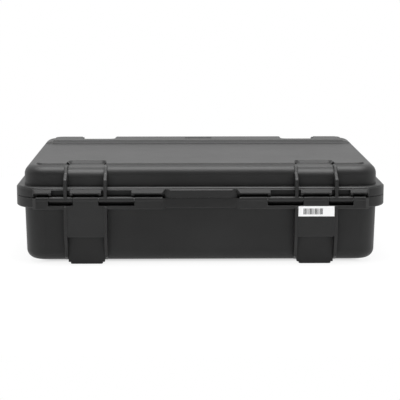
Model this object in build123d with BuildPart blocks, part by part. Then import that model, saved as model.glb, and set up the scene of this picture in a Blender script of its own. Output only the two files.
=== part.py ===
# Hard case for a laptop: moulded base and lid, pinned hinge, two latches, handle, valve and foam.
# Millimetres. X runs along the hinge, the hinge is on the -Y side, the latches are on the +Y side,
# and the four feet stand on Z = 0. The origin is under the middle of the whole case.
import os
from math import radians, tan
from build123d import *

os.makedirs("parts", exist_ok=True)

# ---- Driving dimensions -------------------------------------------------------------------------

# Body
body_width = 489.0           # outside of the walls at the parting line
body_depth = 346.0
base_height = 89.8           # underside of the base to the parting line
lid_height = 44.2            # parting line to the lid's borders
corner_radius = 30.0
draft_angle = 1.5            # degrees, on every wall
wall = 4.0
bottom_radius = 13.0         # round under the base
shoulder_radius = 13.0       # round along the top of the lid
parting_gap = 0.8            # between the two rims

# Rims that meet at the parting line
rim_overhang = 10.5
base_rim_height = 14.3
lid_rim_height = 13.5
lid_step_height = 11.4       # small step in the face of the lid's rim
lid_step_setback = 1.5
rim_edge = 1.4               # chamfer along the rims
step_edge = 0.4

# Borders, main panel and nameplate on top of the lid
border_inset = 16.0          # border's edge to the wall's outside
border_lip = 2.2             # sloped step around the borders
border_slope = 35.0          # degrees from upright
border_edge = 0.6
border_width = 48.0
panel_drop = 5.0             # main panel below the borders
panel_slope = 4.0            # run of the slope down to the main panel
panel_round = 2.5
nameplate = (40.0, 17.0, 1.2)
nameplate_slope = 60.0       # degrees from upright
nameplate_round = 3.0

# Ribs, in pairs either side of each latch and hinge station
station_x = 157.5            # centre of each station to the middle of the case
rib_spacing = 54.4
rib_thickness = 4.6
rib_reach = 6.0              # outermost face of the ribs past the rim
rib_edge = 1.2
rib_top_inset = 5.0          # rib's top ends this far inside the wall's face
rib_knee_out = 2.0           # bend under the lid's shoulder, outside the wall's face
rib_knee_drop = 11.5
rib_flare_drop = 18.5        # full reach from here down
rib_knee_round = 4.0
rib_flare_round = 5.0
rib_foot_rise = 1.0          # rear rib ends this far above the hinge axis
rib_root = 2.0               # ribs run this far inside the rim
base_rib_round = 2.0
base_rib_radius = 30.0
block_reach = 4.5            # face of the hinge block past the rim
block_draft = 1.0            # the block's face leans in by this much at its foot
block_foot_z = 40.0          # where the hinge block ends, above the ground
block_round = 1.6
station_inset = 9.0          # recessed face under the block, behind the rim's face

# Feet and the recesses that take the feet of a case stacked on top
foot_width = 44.5
foot_length = 44.0
foot_height = 4.0
foot_inset = 10.0            # foot's outer face behind the rim's face
foot_edge = 3.0
stack_clearance = 1.2
stack_depth = 4.0
stack_slope = 40.0           # degrees from upright
stack_round = 6.0
stack_step = 1.8             # step at the recess's outer end, where the shoulder starts

# Hinge
hinge_out = 1.0              # hinge axis past the rim's face
hinge_drop = 1.7             # hinge axis below the parting line
knuckle_radius = 4.15
hinge_pin_radius = 1.6
running_clearance = 0.05
knuckle_gap = 0.5            # between neighbouring knuckles
# Knuckle edges from the middle of the case outwards: base, lid, base, lid, base
knuckle_edges = (52.3, 91.0, 139.6, 174.6, 207.6, 225.0)
land_drop = 0.9              # the lands reach this far below the base's rim
land_root = 3.0              # lands and flap start this far inside the rim
land_edge = 1.2
lid_land_foot = 4.0          # underside of the lid's lands above the lid's lower face
lid_land_slope = (3.3, 4.8)  # run and drop of their sloped face
pocket_depth = 5.0           # rooms in the lid's rim for the base's knuckles
pocket_height = 6.2
pocket_margin = 2.8
hood_depth = 4.0             # hollows above the lid's own knuckles
hood_inset = 3.5
hood_skin = 1.4
slot_depth = 7.0             # slots in the base that the lid's knuckles turn in
slot_height = 10.1
flap_half_width = 42.0       # middle flap on the lid
flap_slope = 7.5
flap_edge = 1.0

# Seal
groove_width = 4.4
groove_depth = 6.0
seal_height = 3.0
seal_clearance = 0.3
tongue_width = 2.4

# Latches
latch_gap = 1.5              # each side, between latch and ribs
latch_pin_out = 7.0          # latch pivot past the rim's face
latch_pin_rise = 16.0        # latch pivot above the parting line
latch_pin_radius = 2.0
latch_boss_radius = 5.5
latch_thickness = 4.0
latch_length = 56.0          # pivot to the latch's lower end
latch_toe_height = 6.0       # lower end slopes back over this height
latch_toe_slope = 3.0
latch_heel = 2.0             # thickening behind the lower end
latch_edge = 1.2
latch_boss_room = 1.0        # round the boss, in the lid's rim
rib_boss_trim = 0.5          # rib's boss stops this far behind the latch's
rib_boss_round = 4.5
cheek_thickness = 3.0
cheek_top = 4.0
cheek_slope = 6.0
cheek_clearance = 1.0
keeper_reach = 4.0           # keeper lip past the rim's face
keeper_height = 10.0
hook_clearance = 0.3
hook_height = 4.5
hook_gap = 1.0               # hook to the trigger's window
hook_room = 6.0              # space for the hooks, behind the rim's face
hook_web = 3.0
hook_round = 1.5
pin_chamfer = 0.3
keeper_root = 2.0
hook_tip = 0.6               # hook's tip past the rim's face

# Triggers in the latches
trigger_width = 29.0
trigger_drop = 31.0          # trigger pin below the latch pivot
trigger_pin_in = 4.7         # trigger pin in front of the keeper
trigger_pin_radius = 1.25
trigger_boss_radius = 2.6
trigger_length = 20.0
trigger_thickness = 2.6
trigger_lip = 0.6            # trigger's lower end past the latch's face
trigger_side_gap = 0.4
trigger_end_gap = 1.2        # above and below, in the latch's window
trigger_setback = 0.6        # trigger's top behind the latch's face
trigger_flare = 4.0          # height of the lip at its lower end
trigger_edge = 0.6
trigger_pin_trim = 0.2       # pin ends this far inside the cheeks
spring_wire = 0.7
spring_coil_radius = 2.0
spring_room = 0.3
spring_turns = 3.5
spring_pitch = 1.25
spring_end_room = 0.5

# Handle
handle_span = 120.0          # between the middles of the arms
handle_pivot_z = 71.5
handle_pivot_out = 0.5
handle_arm_width = 10.0
handle_arm_thickness = 11.0
handle_drop = 46.0           # pivot to the middle of the grip
handle_end_round = 5.2
handle_corner_round = 6.0
handle_edge = 1.5
handle_pin_radius = 2.5
handle_lug_thickness = 9.0
handle_lug_gap = 0.5
handle_lug_reach = 6.5       # lug's face past the pivot
handle_lug_round = 4.0
grip_width = 94.0
grip_section = (17.0, 18.0)
grip_core = (10.0, 11.0)
grip_offset = 1.5            # grip hangs this much nearer the wall than its pivot
grip_round = 7.0
grip_edge = 1.5
core_round = 3.0

# Pressure valve
valve_x = 98.0
valve_z = 50.0
valve_boss_radius = 12.5
valve_boss_inset = 9.5
valve_boss_depth = 7.5
valve_head_radius = 9.5
valve_head_height = 3.2
valve_head_round = 1.2
valve_shaft_radius = 5.8
valve_nut_size = 17.0        # across flats
valve_nut_height = 4.0
valve_nut_edge = 0.6
valve_seal_radius = 7.7
valve_seal_section = 0.9
valve_shaft_past = 2.0       # shaft past the nut
valve_passage_radius = 2.5
valve_port_ring = 4.4        # six breather ports on this radius
valve_port_radius = 0.8
valve_port_depth = 1.2

# Padlock eyes
padlock_x = 204.0
padlock_tab = (20.0, 12.5, 7.0)
padlock_tab_round = 5.0
padlock_hole_radius = 3.6
padlock_hole_out = 6.5
padlock_plate = (16.0, 11.0, 1.5)
padlock_plate_inset = 0.5    # plate's outer edge behind the tab's
padlock_plate_round = 4.0

# Label
label_height = 14.2
label_thickness = 0.2
label_margin = 0.3           # to the ribs on each side
label_drop = 11.0            # label's top below the parting line

# Foam
foam_gap = 0.4
foam_setback = 1.0           # foam below the parting line
lid_foam_setback = 1.2
laptop_bay = (400.0, 276.0, 38.0)
bay_radius = 12.0
charger_bay = (150.0, 92.0, 28.0)
valve_relief = 4.0           # room in the foam around the valve's nut

# ---- Places worked out from them ----------------------------------------------------------------

FRONT, REAR = 1, -1
TAN_DRAFT = tan(radians(draft_angle))
parting_z = foot_height + base_height
lid_z = parting_z + parting_gap
top_z = parting_z + lid_height
panel_z = top_z - panel_drop
front_reach = latch_pin_out + latch_boss_radius + trigger_lip
middle_y = (rib_reach - front_reach) / 2
rim_half_depth = body_depth / 2 + rim_overhang
hinge_z = parting_z - hinge_drop
latch_pin_z = parting_z + latch_pin_rise
keeper_z = parting_z - keeper_height
hook_z = keeper_z - hook_clearance
rib_offsets = (-rib_spacing / 2, rib_spacing / 2)
station_width = rib_spacing - rib_thickness
latch_width = station_width - 2 * latch_gap
hook_width = (latch_width - trigger_width) / 2 - hook_gap
stack_floor_z = top_z - stack_depth
label_low_z = parting_z - label_drop - label_height


def out(side, reach):
    # Y of a point that stands this far outside the rim's face, on the front or the rear.
    return middle_y + side * (rim_half_depth + reach)


def outline(inset, mode=Mode.ADD):
    # Plan of the case at the parting line, moved inwards.
    with Locations((0, middle_y)):
        RectangleRounded(body_width - 2 * inset, body_depth - 2 * inset, corner_radius - inset, mode=mode)


def tier(inset, bottom, height, edge, edge_at_top):
    # Plate with the plan of the case and a chamfer along its upper or lower edge.
    with BuildPart() as plate:
        with BuildSketch(Plane.XY.offset(bottom)):
            outline(inset)
        extrude(amount=height)
        faces = plate.faces().filter_by(Axis.Z).sort_by(Axis.Z)
        chamfer(faces[-1 if edge_at_top else 0].edges(), edge)
    return plate.part


def slice_x(centre_x, width, points, radii=0.0):
    # Prism along X with its profile given as (Y, Z) points and the radius of each corner.
    with BuildPart() as prism:
        with BuildSketch(Plane.YZ.offset(centre_x - width / 2)):
            with BuildLine():
                FilletPolyline(*points, radius=radii, close=True)
            make_face()
        extrude(amount=width)
    return prism.part


def rounded_slice(centre_x, width, points, radii, edge):
    # The same prism with the rims of both its side faces rounded.
    with BuildPart() as prism:
        add(slice_x(centre_x, width, points, radii))
        ends = prism.faces().filter_by(Axis.X)
        fillet(ends.edges(), edge)
    return prism.part


def box_between(low, high):
    # Block between two corners.
    with BuildPart() as block:
        with BuildSketch(Plane.XY.offset(low[2])):
            with Locations(((low[0] + high[0]) / 2, (low[1] + high[1]) / 2)):
                Rectangle(high[0] - low[0], high[1] - low[1])
        extrude(amount=high[2] - low[2])
    return block.part


def rod_x(x0, x1, y, z, radius):
    # Round bar along X.
    with BuildPart() as rod:
        with BuildSketch(Plane.YZ.offset(x0)):
            with Locations((y, z)):
                Circle(radius)
        extrude(amount=x1 - x0)
    return rod.part


def save(piece, name):
    piece.part.label = name
    export_step(piece.part, f"parts/{name}.step")


def spans_between(edges, first, side, gap):
    # (x0, x1) of every second length between these edges, on the right or left, with a gap at each end.
    spans = []
    for inner, outer in list(zip(edges, edges[1:]))[first::2]:
        low, high = inner + gap, outer - gap
        spans.append((low, high) if side > 0 else (-high, -low))
    return spans


base_knuckles = [span for side in (-1, 1) for span in spans_between(knuckle_edges, 0, side, knuckle_gap / 2)]
lid_knuckles = [span for side in (-1, 1) for span in spans_between(knuckle_edges, 1, side, knuckle_gap / 2)]
# The rooms for the base's knuckles run past the sloped ends of the lands
pocket_edges = (knuckle_edges[0] - pocket_margin, *knuckle_edges[1:-1], knuckle_edges[-1] + pocket_margin)
lid_pockets = [span for side in (-1, 1) for span in spans_between(pocket_edges, 0, side, -knuckle_gap / 2)]
hinge_y = out(REAR, hinge_out)
latch_pin_y = out(FRONT, latch_pin_out)
stations = [(x, side) for x in (-station_x, station_x) for side in (REAR, FRONT)]

# ---- Base ---------------------------------------------------------------------------------------


def base_rib(x, side):
    # Upright rib that stands out most at the rim and runs down to the round under the base.
    points = [
        (out(side, -rim_overhang - wall), parting_z - base_rim_height / 2),
        (out(side, rib_reach), parting_z - slot_height - land_drop),
        (out(side, rib_reach - block_round), block_foot_z),
        (out(side, -rim_overhang + bottom_radius / 3), foot_height + bottom_radius / 2),
        (out(side, -rim_overhang - bottom_radius / 2), foot_height + 1),
        (out(side, -rim_overhang - 2 * bottom_radius), foot_height + 2),
    ]
    rounds = [0, base_rib_round, base_rib_radius, rib_knee_round, rib_knee_round, 0]
    return rounded_slice(x, rib_thickness, points, rounds, rib_edge)


def hinge_block(x):
    # Raised block between the two ribs under the hinge, upright behind the label and leaning in below it.
    y_in = out(REAR, -rim_overhang - wall / 2)
    block_top = parting_z - land_drop
    points = [
        (y_in, block_top), (out(REAR, block_reach), block_top),
        (out(REAR, block_reach), label_low_z - label_margin),
        (out(REAR, block_reach - block_draft), block_foot_z), (y_in, block_foot_z),
    ]
    return slice_x(x, station_width, points, [0, land_drop, 0, block_round, 0])


def station_face(x, side):
    # Recessed face between the ribs, above the foot.
    y_in = out(side, -rim_overhang - bottom_radius - wall)
    points = [
        (out(side, -rim_overhang - wall / 2), block_foot_z + wall),
        (out(side, -station_inset), block_foot_z + wall),
        (out(side, -foot_inset), foot_height - 1),
        (y_in, foot_height - 1),
        (y_in, foot_height + bottom_radius),
    ]
    return slice_x(x, station_width, points)


def foot(x, side):
    # Foot block with its lower edges rounded.
    with BuildPart() as block:
        with BuildSketch(Plane.XY):
            with Locations((x, out(side, -foot_inset - foot_length / 2))):
                RectangleRounded(foot_width, foot_length, foot_edge)
        extrude(amount=foot_height + bottom_radius)
        fillet(block.faces().sort_by(Axis.Z)[0].edges(), foot_edge / 2)
    return block.part


def land_plan(side):
    # Plan of the thickened length of rim that carries the hinge of one half, with sloped ends.
    inner, outer = knuckle_edges[0], knuckle_edges[-1]
    y_face, y_rim, y_in = out(REAR, block_reach), out(REAR, 0), out(REAR, -land_root)
    with BuildSketch() as plan:
        with BuildLine():
            Polyline(
                (side * (inner - block_reach), y_in), (side * (inner - block_reach), y_rim),
                (side * (inner + 1), y_face), (side * outer, y_face),
                (side * (outer + block_reach), y_rim), (side * (outer + block_reach), y_in), close=True,
            )
        make_face()
    return plan.sketch


def base_land(side):
    # The base's half of it, under the knuckles.
    with BuildPart() as land:
        with BuildSketch(Plane.XY.offset(parting_z - base_rim_height - land_drop)):
            add(land_plan(side))
        extrude(amount=base_rim_height + land_drop)
        chamfer(land.faces().sort_by(Axis.Z)[0].edges().sort_by(Axis.Y)[0], land_edge)
    return land.part


with BuildPart() as base_cavity:
    with BuildSketch(Plane.XY.offset(parting_z + 1)):
        outline(wall)
    extrude(amount=-(base_height - wall + 1), taper=draft_angle)
    fillet(base_cavity.faces().sort_by(Axis.Z)[0].edges(), bottom_radius - wall)

with BuildPart() as base_shell:
    with BuildSketch(Plane.XY.offset(parting_z)):
        outline(0)
    extrude(amount=-base_height, taper=draft_angle)
    fillet(base_shell.faces().sort_by(Axis.Z)[0].edges(), bottom_radius)
    add(tier(-rim_overhang, parting_z - base_rim_height, base_rim_height, rim_edge, False))
    for x, side in stations:
        for offset_x in rib_offsets:
            add(base_rib(x + offset_x, side))
        add(station_face(x, side))
        add(foot(x, side))
    for x in (-station_x, station_x):
        add(hinge_block(x))
        add(box_between((x - station_width / 2, out(FRONT, -keeper_root), keeper_z),
                        (x + station_width / 2, out(FRONT, keeper_reach), parting_z)))
        # Space behind the latch's hook, under the keeper lip
        add(box_between((x - station_width / 2, out(FRONT, -hook_room), keeper_z - base_rim_height),
                        (x + station_width / 2, out(FRONT, keeper_reach + 1), keeper_z)), mode=Mode.SUBTRACT)
    for side in (-1, 1):
        add(base_land(side))
    for x0, x1 in base_knuckles:
        add(rod_x(x0, x1, hinge_y, hinge_z, knuckle_radius))
    # Slots that the lid's knuckles turn in
    for x0, x1 in lid_knuckles:
        add(box_between((x0 - knuckle_gap, out(REAR, 2 * rib_reach), parting_z - slot_height),
                        (x1 + knuckle_gap, out(REAR, -slot_depth), parting_z + pocket_height)),
            mode=Mode.SUBTRACT)
    for side in (-1, 1):
        x0, x1 = sorted((side * knuckle_edges[0], side * knuckle_edges[-1]))
        add(rod_x(x0, x1, hinge_y, hinge_z, hinge_pin_radius + running_clearance), mode=Mode.SUBTRACT)
        # Handle lug
        lug_x = side * (handle_span / 2 + handle_arm_width / 2 + handle_lug_gap + handle_lug_thickness / 2)
        pivot_y = out(FRONT, handle_pivot_out)
        lug = [
            (out(FRONT, -rim_overhang - wall / 2), parting_z - wall),
            (out(FRONT, -1), parting_z - wall),
            (pivot_y + handle_lug_reach, handle_pivot_z + handle_lug_reach - 1),
            (pivot_y + handle_lug_reach, handle_pivot_z - handle_lug_reach),
            (pivot_y - handle_lug_round, handle_pivot_z - handle_lug_reach),
            (out(FRONT, -rim_overhang - wall / 2), handle_pivot_z - 3 * handle_lug_reach),
        ]
        rounds = [0, 0, handle_lug_round, handle_lug_round + 1, handle_lug_round, 0]
        add(rounded_slice(lug_x, handle_lug_thickness, lug, rounds, rib_edge))
        add(rod_x(lug_x - handle_lug_thickness, lug_x + handle_lug_thickness, pivot_y, handle_pivot_z,
                  handle_pin_radius + running_clearance), mode=Mode.SUBTRACT)
    # Valve boss outside
    with BuildSketch(Plane.XZ.offset(-out(FRONT, -rim_overhang - wall / 2))):
        with Locations((valve_x, valve_z)):
            Circle(valve_boss_radius)
    extrude(amount=-(rim_overhang + wall / 2 - valve_boss_inset))
    add(base_cavity.part, mode=Mode.SUBTRACT)
    # Valve boss inside, then the bore
    with BuildSketch(Plane.XZ.offset(-out(FRONT, -valve_boss_inset - valve_boss_depth))):
        with Locations((valve_x, valve_z)):
            Circle(valve_boss_radius)
    extrude(amount=-(valve_boss_depth - 1))
    with BuildSketch(Plane.XZ.offset(-out(FRONT, -valve_boss_inset - 2 * valve_boss_depth))):
        with Locations((valve_x, valve_z)):
            Circle(valve_shaft_radius + running_clearance)
    extrude(amount=-3 * valve_boss_depth, mode=Mode.SUBTRACT)
    # Sealing tongue
    with BuildSketch(Plane.XY.offset(parting_z)):
        outline(-tongue_width / 2)
        outline(tongue_width / 2, mode=Mode.SUBTRACT)
    extrude(amount=parting_gap + groove_depth - seal_height - seal_clearance)

# ---- Lid ----------------------------------------------------------------------------------------


# Where a rib leaves the lid's border and runs down over the shoulder
def rib_over_shoulder(side):
    border_z = top_z - border_lip
    return [
        (out(side, -rim_overhang - border_inset - 2 * wall), panel_z - wall / 2),
        (out(side, -rim_overhang - border_inset - wall), border_z),
        (out(side, -rim_overhang - rib_top_inset), border_z),
        (out(side, -rim_overhang + rib_knee_out), top_z - rib_knee_drop),
    ]


def lid_rib(x):
    # Rear rib: over the shoulder, out to the rim and down to the hinge knuckle.
    points = [
        *rib_over_shoulder(REAR),
        (out(REAR, rib_reach), top_z - rib_flare_drop),
        (out(REAR, rib_reach), hinge_z + rib_foot_rise),
        (out(REAR, -rib_root), hinge_z + rib_foot_rise),
        (out(REAR, -rim_overhang - wall), lid_z + lid_rim_height),
    ]
    rounds = [0, 0, rib_knee_round, rib_knee_round, rib_flare_round, 0, 0, 0]
    return rounded_slice(x, rib_thickness, points, rounds, rib_edge)


def latch_rib(x):
    # Front rib: the same run over the shoulder, with a boss for the latch pin at its foot.
    boss = latch_boss_radius - rib_boss_trim
    points = [
        *rib_over_shoulder(FRONT),
        (out(FRONT, rib_root), latch_pin_z + boss + 2 * rib_thickness / 3),
        (out(FRONT, latch_pin_out + boss), latch_pin_z + boss - rib_edge),
        (out(FRONT, latch_pin_out + boss), latch_pin_z - boss),
        (out(FRONT, rib_root / 2), lid_z),
        (out(FRONT, -rib_root), lid_z),
        (out(FRONT, -rim_overhang - wall), lid_z + lid_rim_height),
    ]
    rounds = [0, 0, *(rib_knee_round,) * 3, rib_boss_round, rib_boss_round, 0, 0, 0]
    return rounded_slice(x, rib_thickness, points, rounds, rib_edge)


def shoulder_dip(x, side):
    # What is cut from the shoulder between two ribs, so that it starts lower, beyond the stacking recess.
    dip_z = stack_floor_z - stack_step
    foot_z = dip_z - shoulder_radius - 1
    wall_r = -rim_overhang - (foot_z - lid_z) * TAN_DRAFT
    step_r = wall_r - shoulder_radius - 1
    points = [
        (out(side, step_r - border_inset), top_z + 1),
        (out(side, step_r - border_inset), stack_floor_z),
        (out(side, step_r - stack_step), stack_floor_z),
        (out(side, step_r), dip_z),
        (out(side, wall_r), dip_z),
        (out(side, wall_r), foot_z),
        (out(side, rib_reach), foot_z),
        (out(side, rib_reach), top_z + 1),
    ]
    return slice_x(x, rib_spacing, points, [0, 0, 0, 0, shoulder_radius, 0, 0, 0])


def lid_land(side):
    # The lid's half of the thickened hinge rim, with a sloped face over the knuckles.
    with BuildPart() as land:
        with BuildSketch(Plane.XY.offset(lid_z + lid_land_foot)):
            add(land_plan(side))
        extrude(amount=lid_step_height - lid_land_foot)
        top = land.faces().sort_by(Axis.Z)[-1]
        run, drop = lid_land_slope
        chamfer(top.edges().sort_by(Axis.Y)[0], run, drop, reference=top)
    return land.part


def flap():
    # Middle flap over the base's rim.
    y_face, y_rim, y_in = out(REAR, block_reach), out(REAR, 0), out(REAR, -land_root)
    root = flap_half_width + flap_slope
    with BuildPart() as plate:
        with BuildSketch(Plane.XY.offset(lid_z)):
            with BuildLine():
                Polyline((-flap_half_width, y_face), (flap_half_width, y_face), (root, y_rim), (root, y_in),
                         (-root, y_in), (-root, y_rim), close=True)
            make_face()
        extrude(amount=lid_step_height)
        chamfer(plate.faces().sort_by(Axis.Z)[-1].edges().sort_by(Axis.Y)[0], flap_edge)
    return plate.part


with BuildPart() as lid_cavity:
    with BuildSketch(Plane.XY.offset(lid_z - 1)):
        outline(wall)
    extrude(amount=panel_z - wall - lid_z + 1, taper=draft_angle)
    fillet(lid_cavity.faces().sort_by(Axis.Z)[-1].edges(), shoulder_radius - wall)

with BuildPart() as lid_shell:
    with BuildSketch(Plane.XY.offset(lid_z)):
        outline(0)
    extrude(amount=top_z - border_lip - lid_z, taper=draft_angle)
    fillet(lid_shell.faces().sort_by(Axis.Z)[-1].edges(), shoulder_radius)
    # Raised border, then the lower main panel across the full width
    with BuildSketch(Plane.XY.offset(top_z - border_lip - 1)):
        outline(border_inset)
    extrude(amount=border_lip + 1, taper=border_slope)
    fillet(lid_shell.faces().sort_by(Axis.Z)[-1].edges(), border_edge)
    trough = body_depth / 2 - border_inset - border_width
    add(slice_x(0, body_width + 2 * rim_overhang, [
        (middle_y - trough + panel_slope, panel_z), (middle_y + trough - panel_slope, panel_z),
        (middle_y + trough, top_z + 1), (middle_y - trough, top_z + 1),
    ], [panel_round, panel_round, 0, 0]), mode=Mode.SUBTRACT)
    # Shallow bare nameplate recess in the middle of the front border
    name_w, name_d, name_h = nameplate
    with BuildSketch(Plane.XY.offset(top_z - name_h)):
        with Locations((0, middle_y + body_depth / 2 - border_inset - border_width / 2)):
            RectangleRounded(name_w, name_d, nameplate_round)
    extrude(amount=name_h, taper=-nameplate_slope, mode=Mode.SUBTRACT)
    add(tier(lid_step_setback - rim_overhang, lid_z, lid_rim_height, rim_edge, True))
    add(tier(-rim_overhang, lid_z, lid_step_height, step_edge, True))
    for side in (-1, 1):
        add(lid_land(side))
    add(flap())
    # Rooms for the base's knuckles, and hollows above the lid's own
    for x0, x1 in lid_pockets:
        add(box_between((x0, out(REAR, 2 * rib_reach), lid_z - 2),
                        (x1, out(REAR, -pocket_depth), parting_z + pocket_height)), mode=Mode.SUBTRACT)
    for x0, x1 in lid_knuckles:
        knuckle_top = hinge_z + knuckle_radius
        add(box_between((x0 + hood_inset, out(REAR, rib_reach), knuckle_top),
                        (x1 - hood_inset, out(REAR, -hood_depth), lid_z + lid_step_height - hood_skin)),
            mode=Mode.SUBTRACT)
        # The knuckle and the arm that holds it
        add(box_between((x0, out(REAR, hinge_out), hinge_z),
                        (x1, out(REAR, hinge_out - knuckle_radius), knuckle_top)))
        add(rod_x(x0, x1, hinge_y, hinge_z, knuckle_radius))
    for x, side in stations:
        # Recess that takes a foot of the case stacked above
        recess_in = foot_inset + foot_length + stack_clearance
        ys = (out(side, -recess_in), out(side, rib_reach))
        with BuildSketch(Plane.XY.offset(stack_floor_z)):
            with Locations((x, sum(ys) / 2)):
                RectangleRounded(foot_width + 2 * stack_clearance, abs(ys[1] - ys[0]), stack_round)
        extrude(amount=stack_depth + 1, taper=-stack_slope, mode=Mode.SUBTRACT)
        add(shoulder_dip(x, side), mode=Mode.SUBTRACT)
    for x in (-station_x, station_x):
        for offset_x in rib_offsets:
            add(lid_rib(x + offset_x))
            add(latch_rib(x + offset_x))
        # Room for the latch's round boss in the rim
        half = station_width / 2
        add(rod_x(x - half, x + half, latch_pin_y, latch_pin_z, latch_boss_radius + latch_boss_room),
            mode=Mode.SUBTRACT)
    add(lid_cavity.part, mode=Mode.SUBTRACT)
    # Seal groove
    with BuildSketch(Plane.XY.offset(lid_z)):
        outline(-groove_width / 2)
        outline(groove_width / 2, mode=Mode.SUBTRACT)
    extrude(amount=groove_depth, mode=Mode.SUBTRACT)
    for side in (-1, 1):
        x0, x1 = sorted((side * (knuckle_edges[0] - 2), side * (knuckle_edges[-1] + 2)))
        add(rod_x(x0, x1, hinge_y, hinge_z, hinge_pin_radius + running_clearance), mode=Mode.SUBTRACT)
        half = rib_spacing / 2 + rib_thickness
        add(rod_x(side * station_x - half, side * station_x + half, latch_pin_y, latch_pin_z,
                  latch_pin_radius + running_clearance), mode=Mode.SUBTRACT)

save(base_shell, "base_shell")
save(lid_shell, "lid_shell")

with BuildPart() as lid_seal:
    with BuildSketch(Plane.XY.offset(lid_z + groove_depth - seal_height)):
        outline(-groove_width / 2 + seal_clearance)
        outline(groove_width / 2 - seal_clearance, mode=Mode.SUBTRACT)
    extrude(amount=seal_height)
save(lid_seal, "lid_seal")

for side_name, side in (("left", -1), ("right", 1)):
    with BuildPart() as hinge_pin:
        x0, x1 = sorted((side * (knuckle_edges[0] + 1), side * (knuckle_edges[-1] - 1)))
        add(rod_x(x0, x1, hinge_y, hinge_z, hinge_pin_radius))
        chamfer(hinge_pin.faces().filter_by(Axis.X).edges(), pin_chamfer)
    save(hinge_pin, f"hinge_pin_{side_name}")

# ---- Latches and triggers -----------------------------------------------------------------------

trigger_pin_z = latch_pin_z - trigger_drop
trigger_pin_y = out(FRONT, keeper_reach + trigger_pin_in)
latch_face = latch_pin_out + latch_boss_radius
latch_back = latch_face - latch_thickness
latch_low_z = latch_pin_z - latch_length

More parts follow.
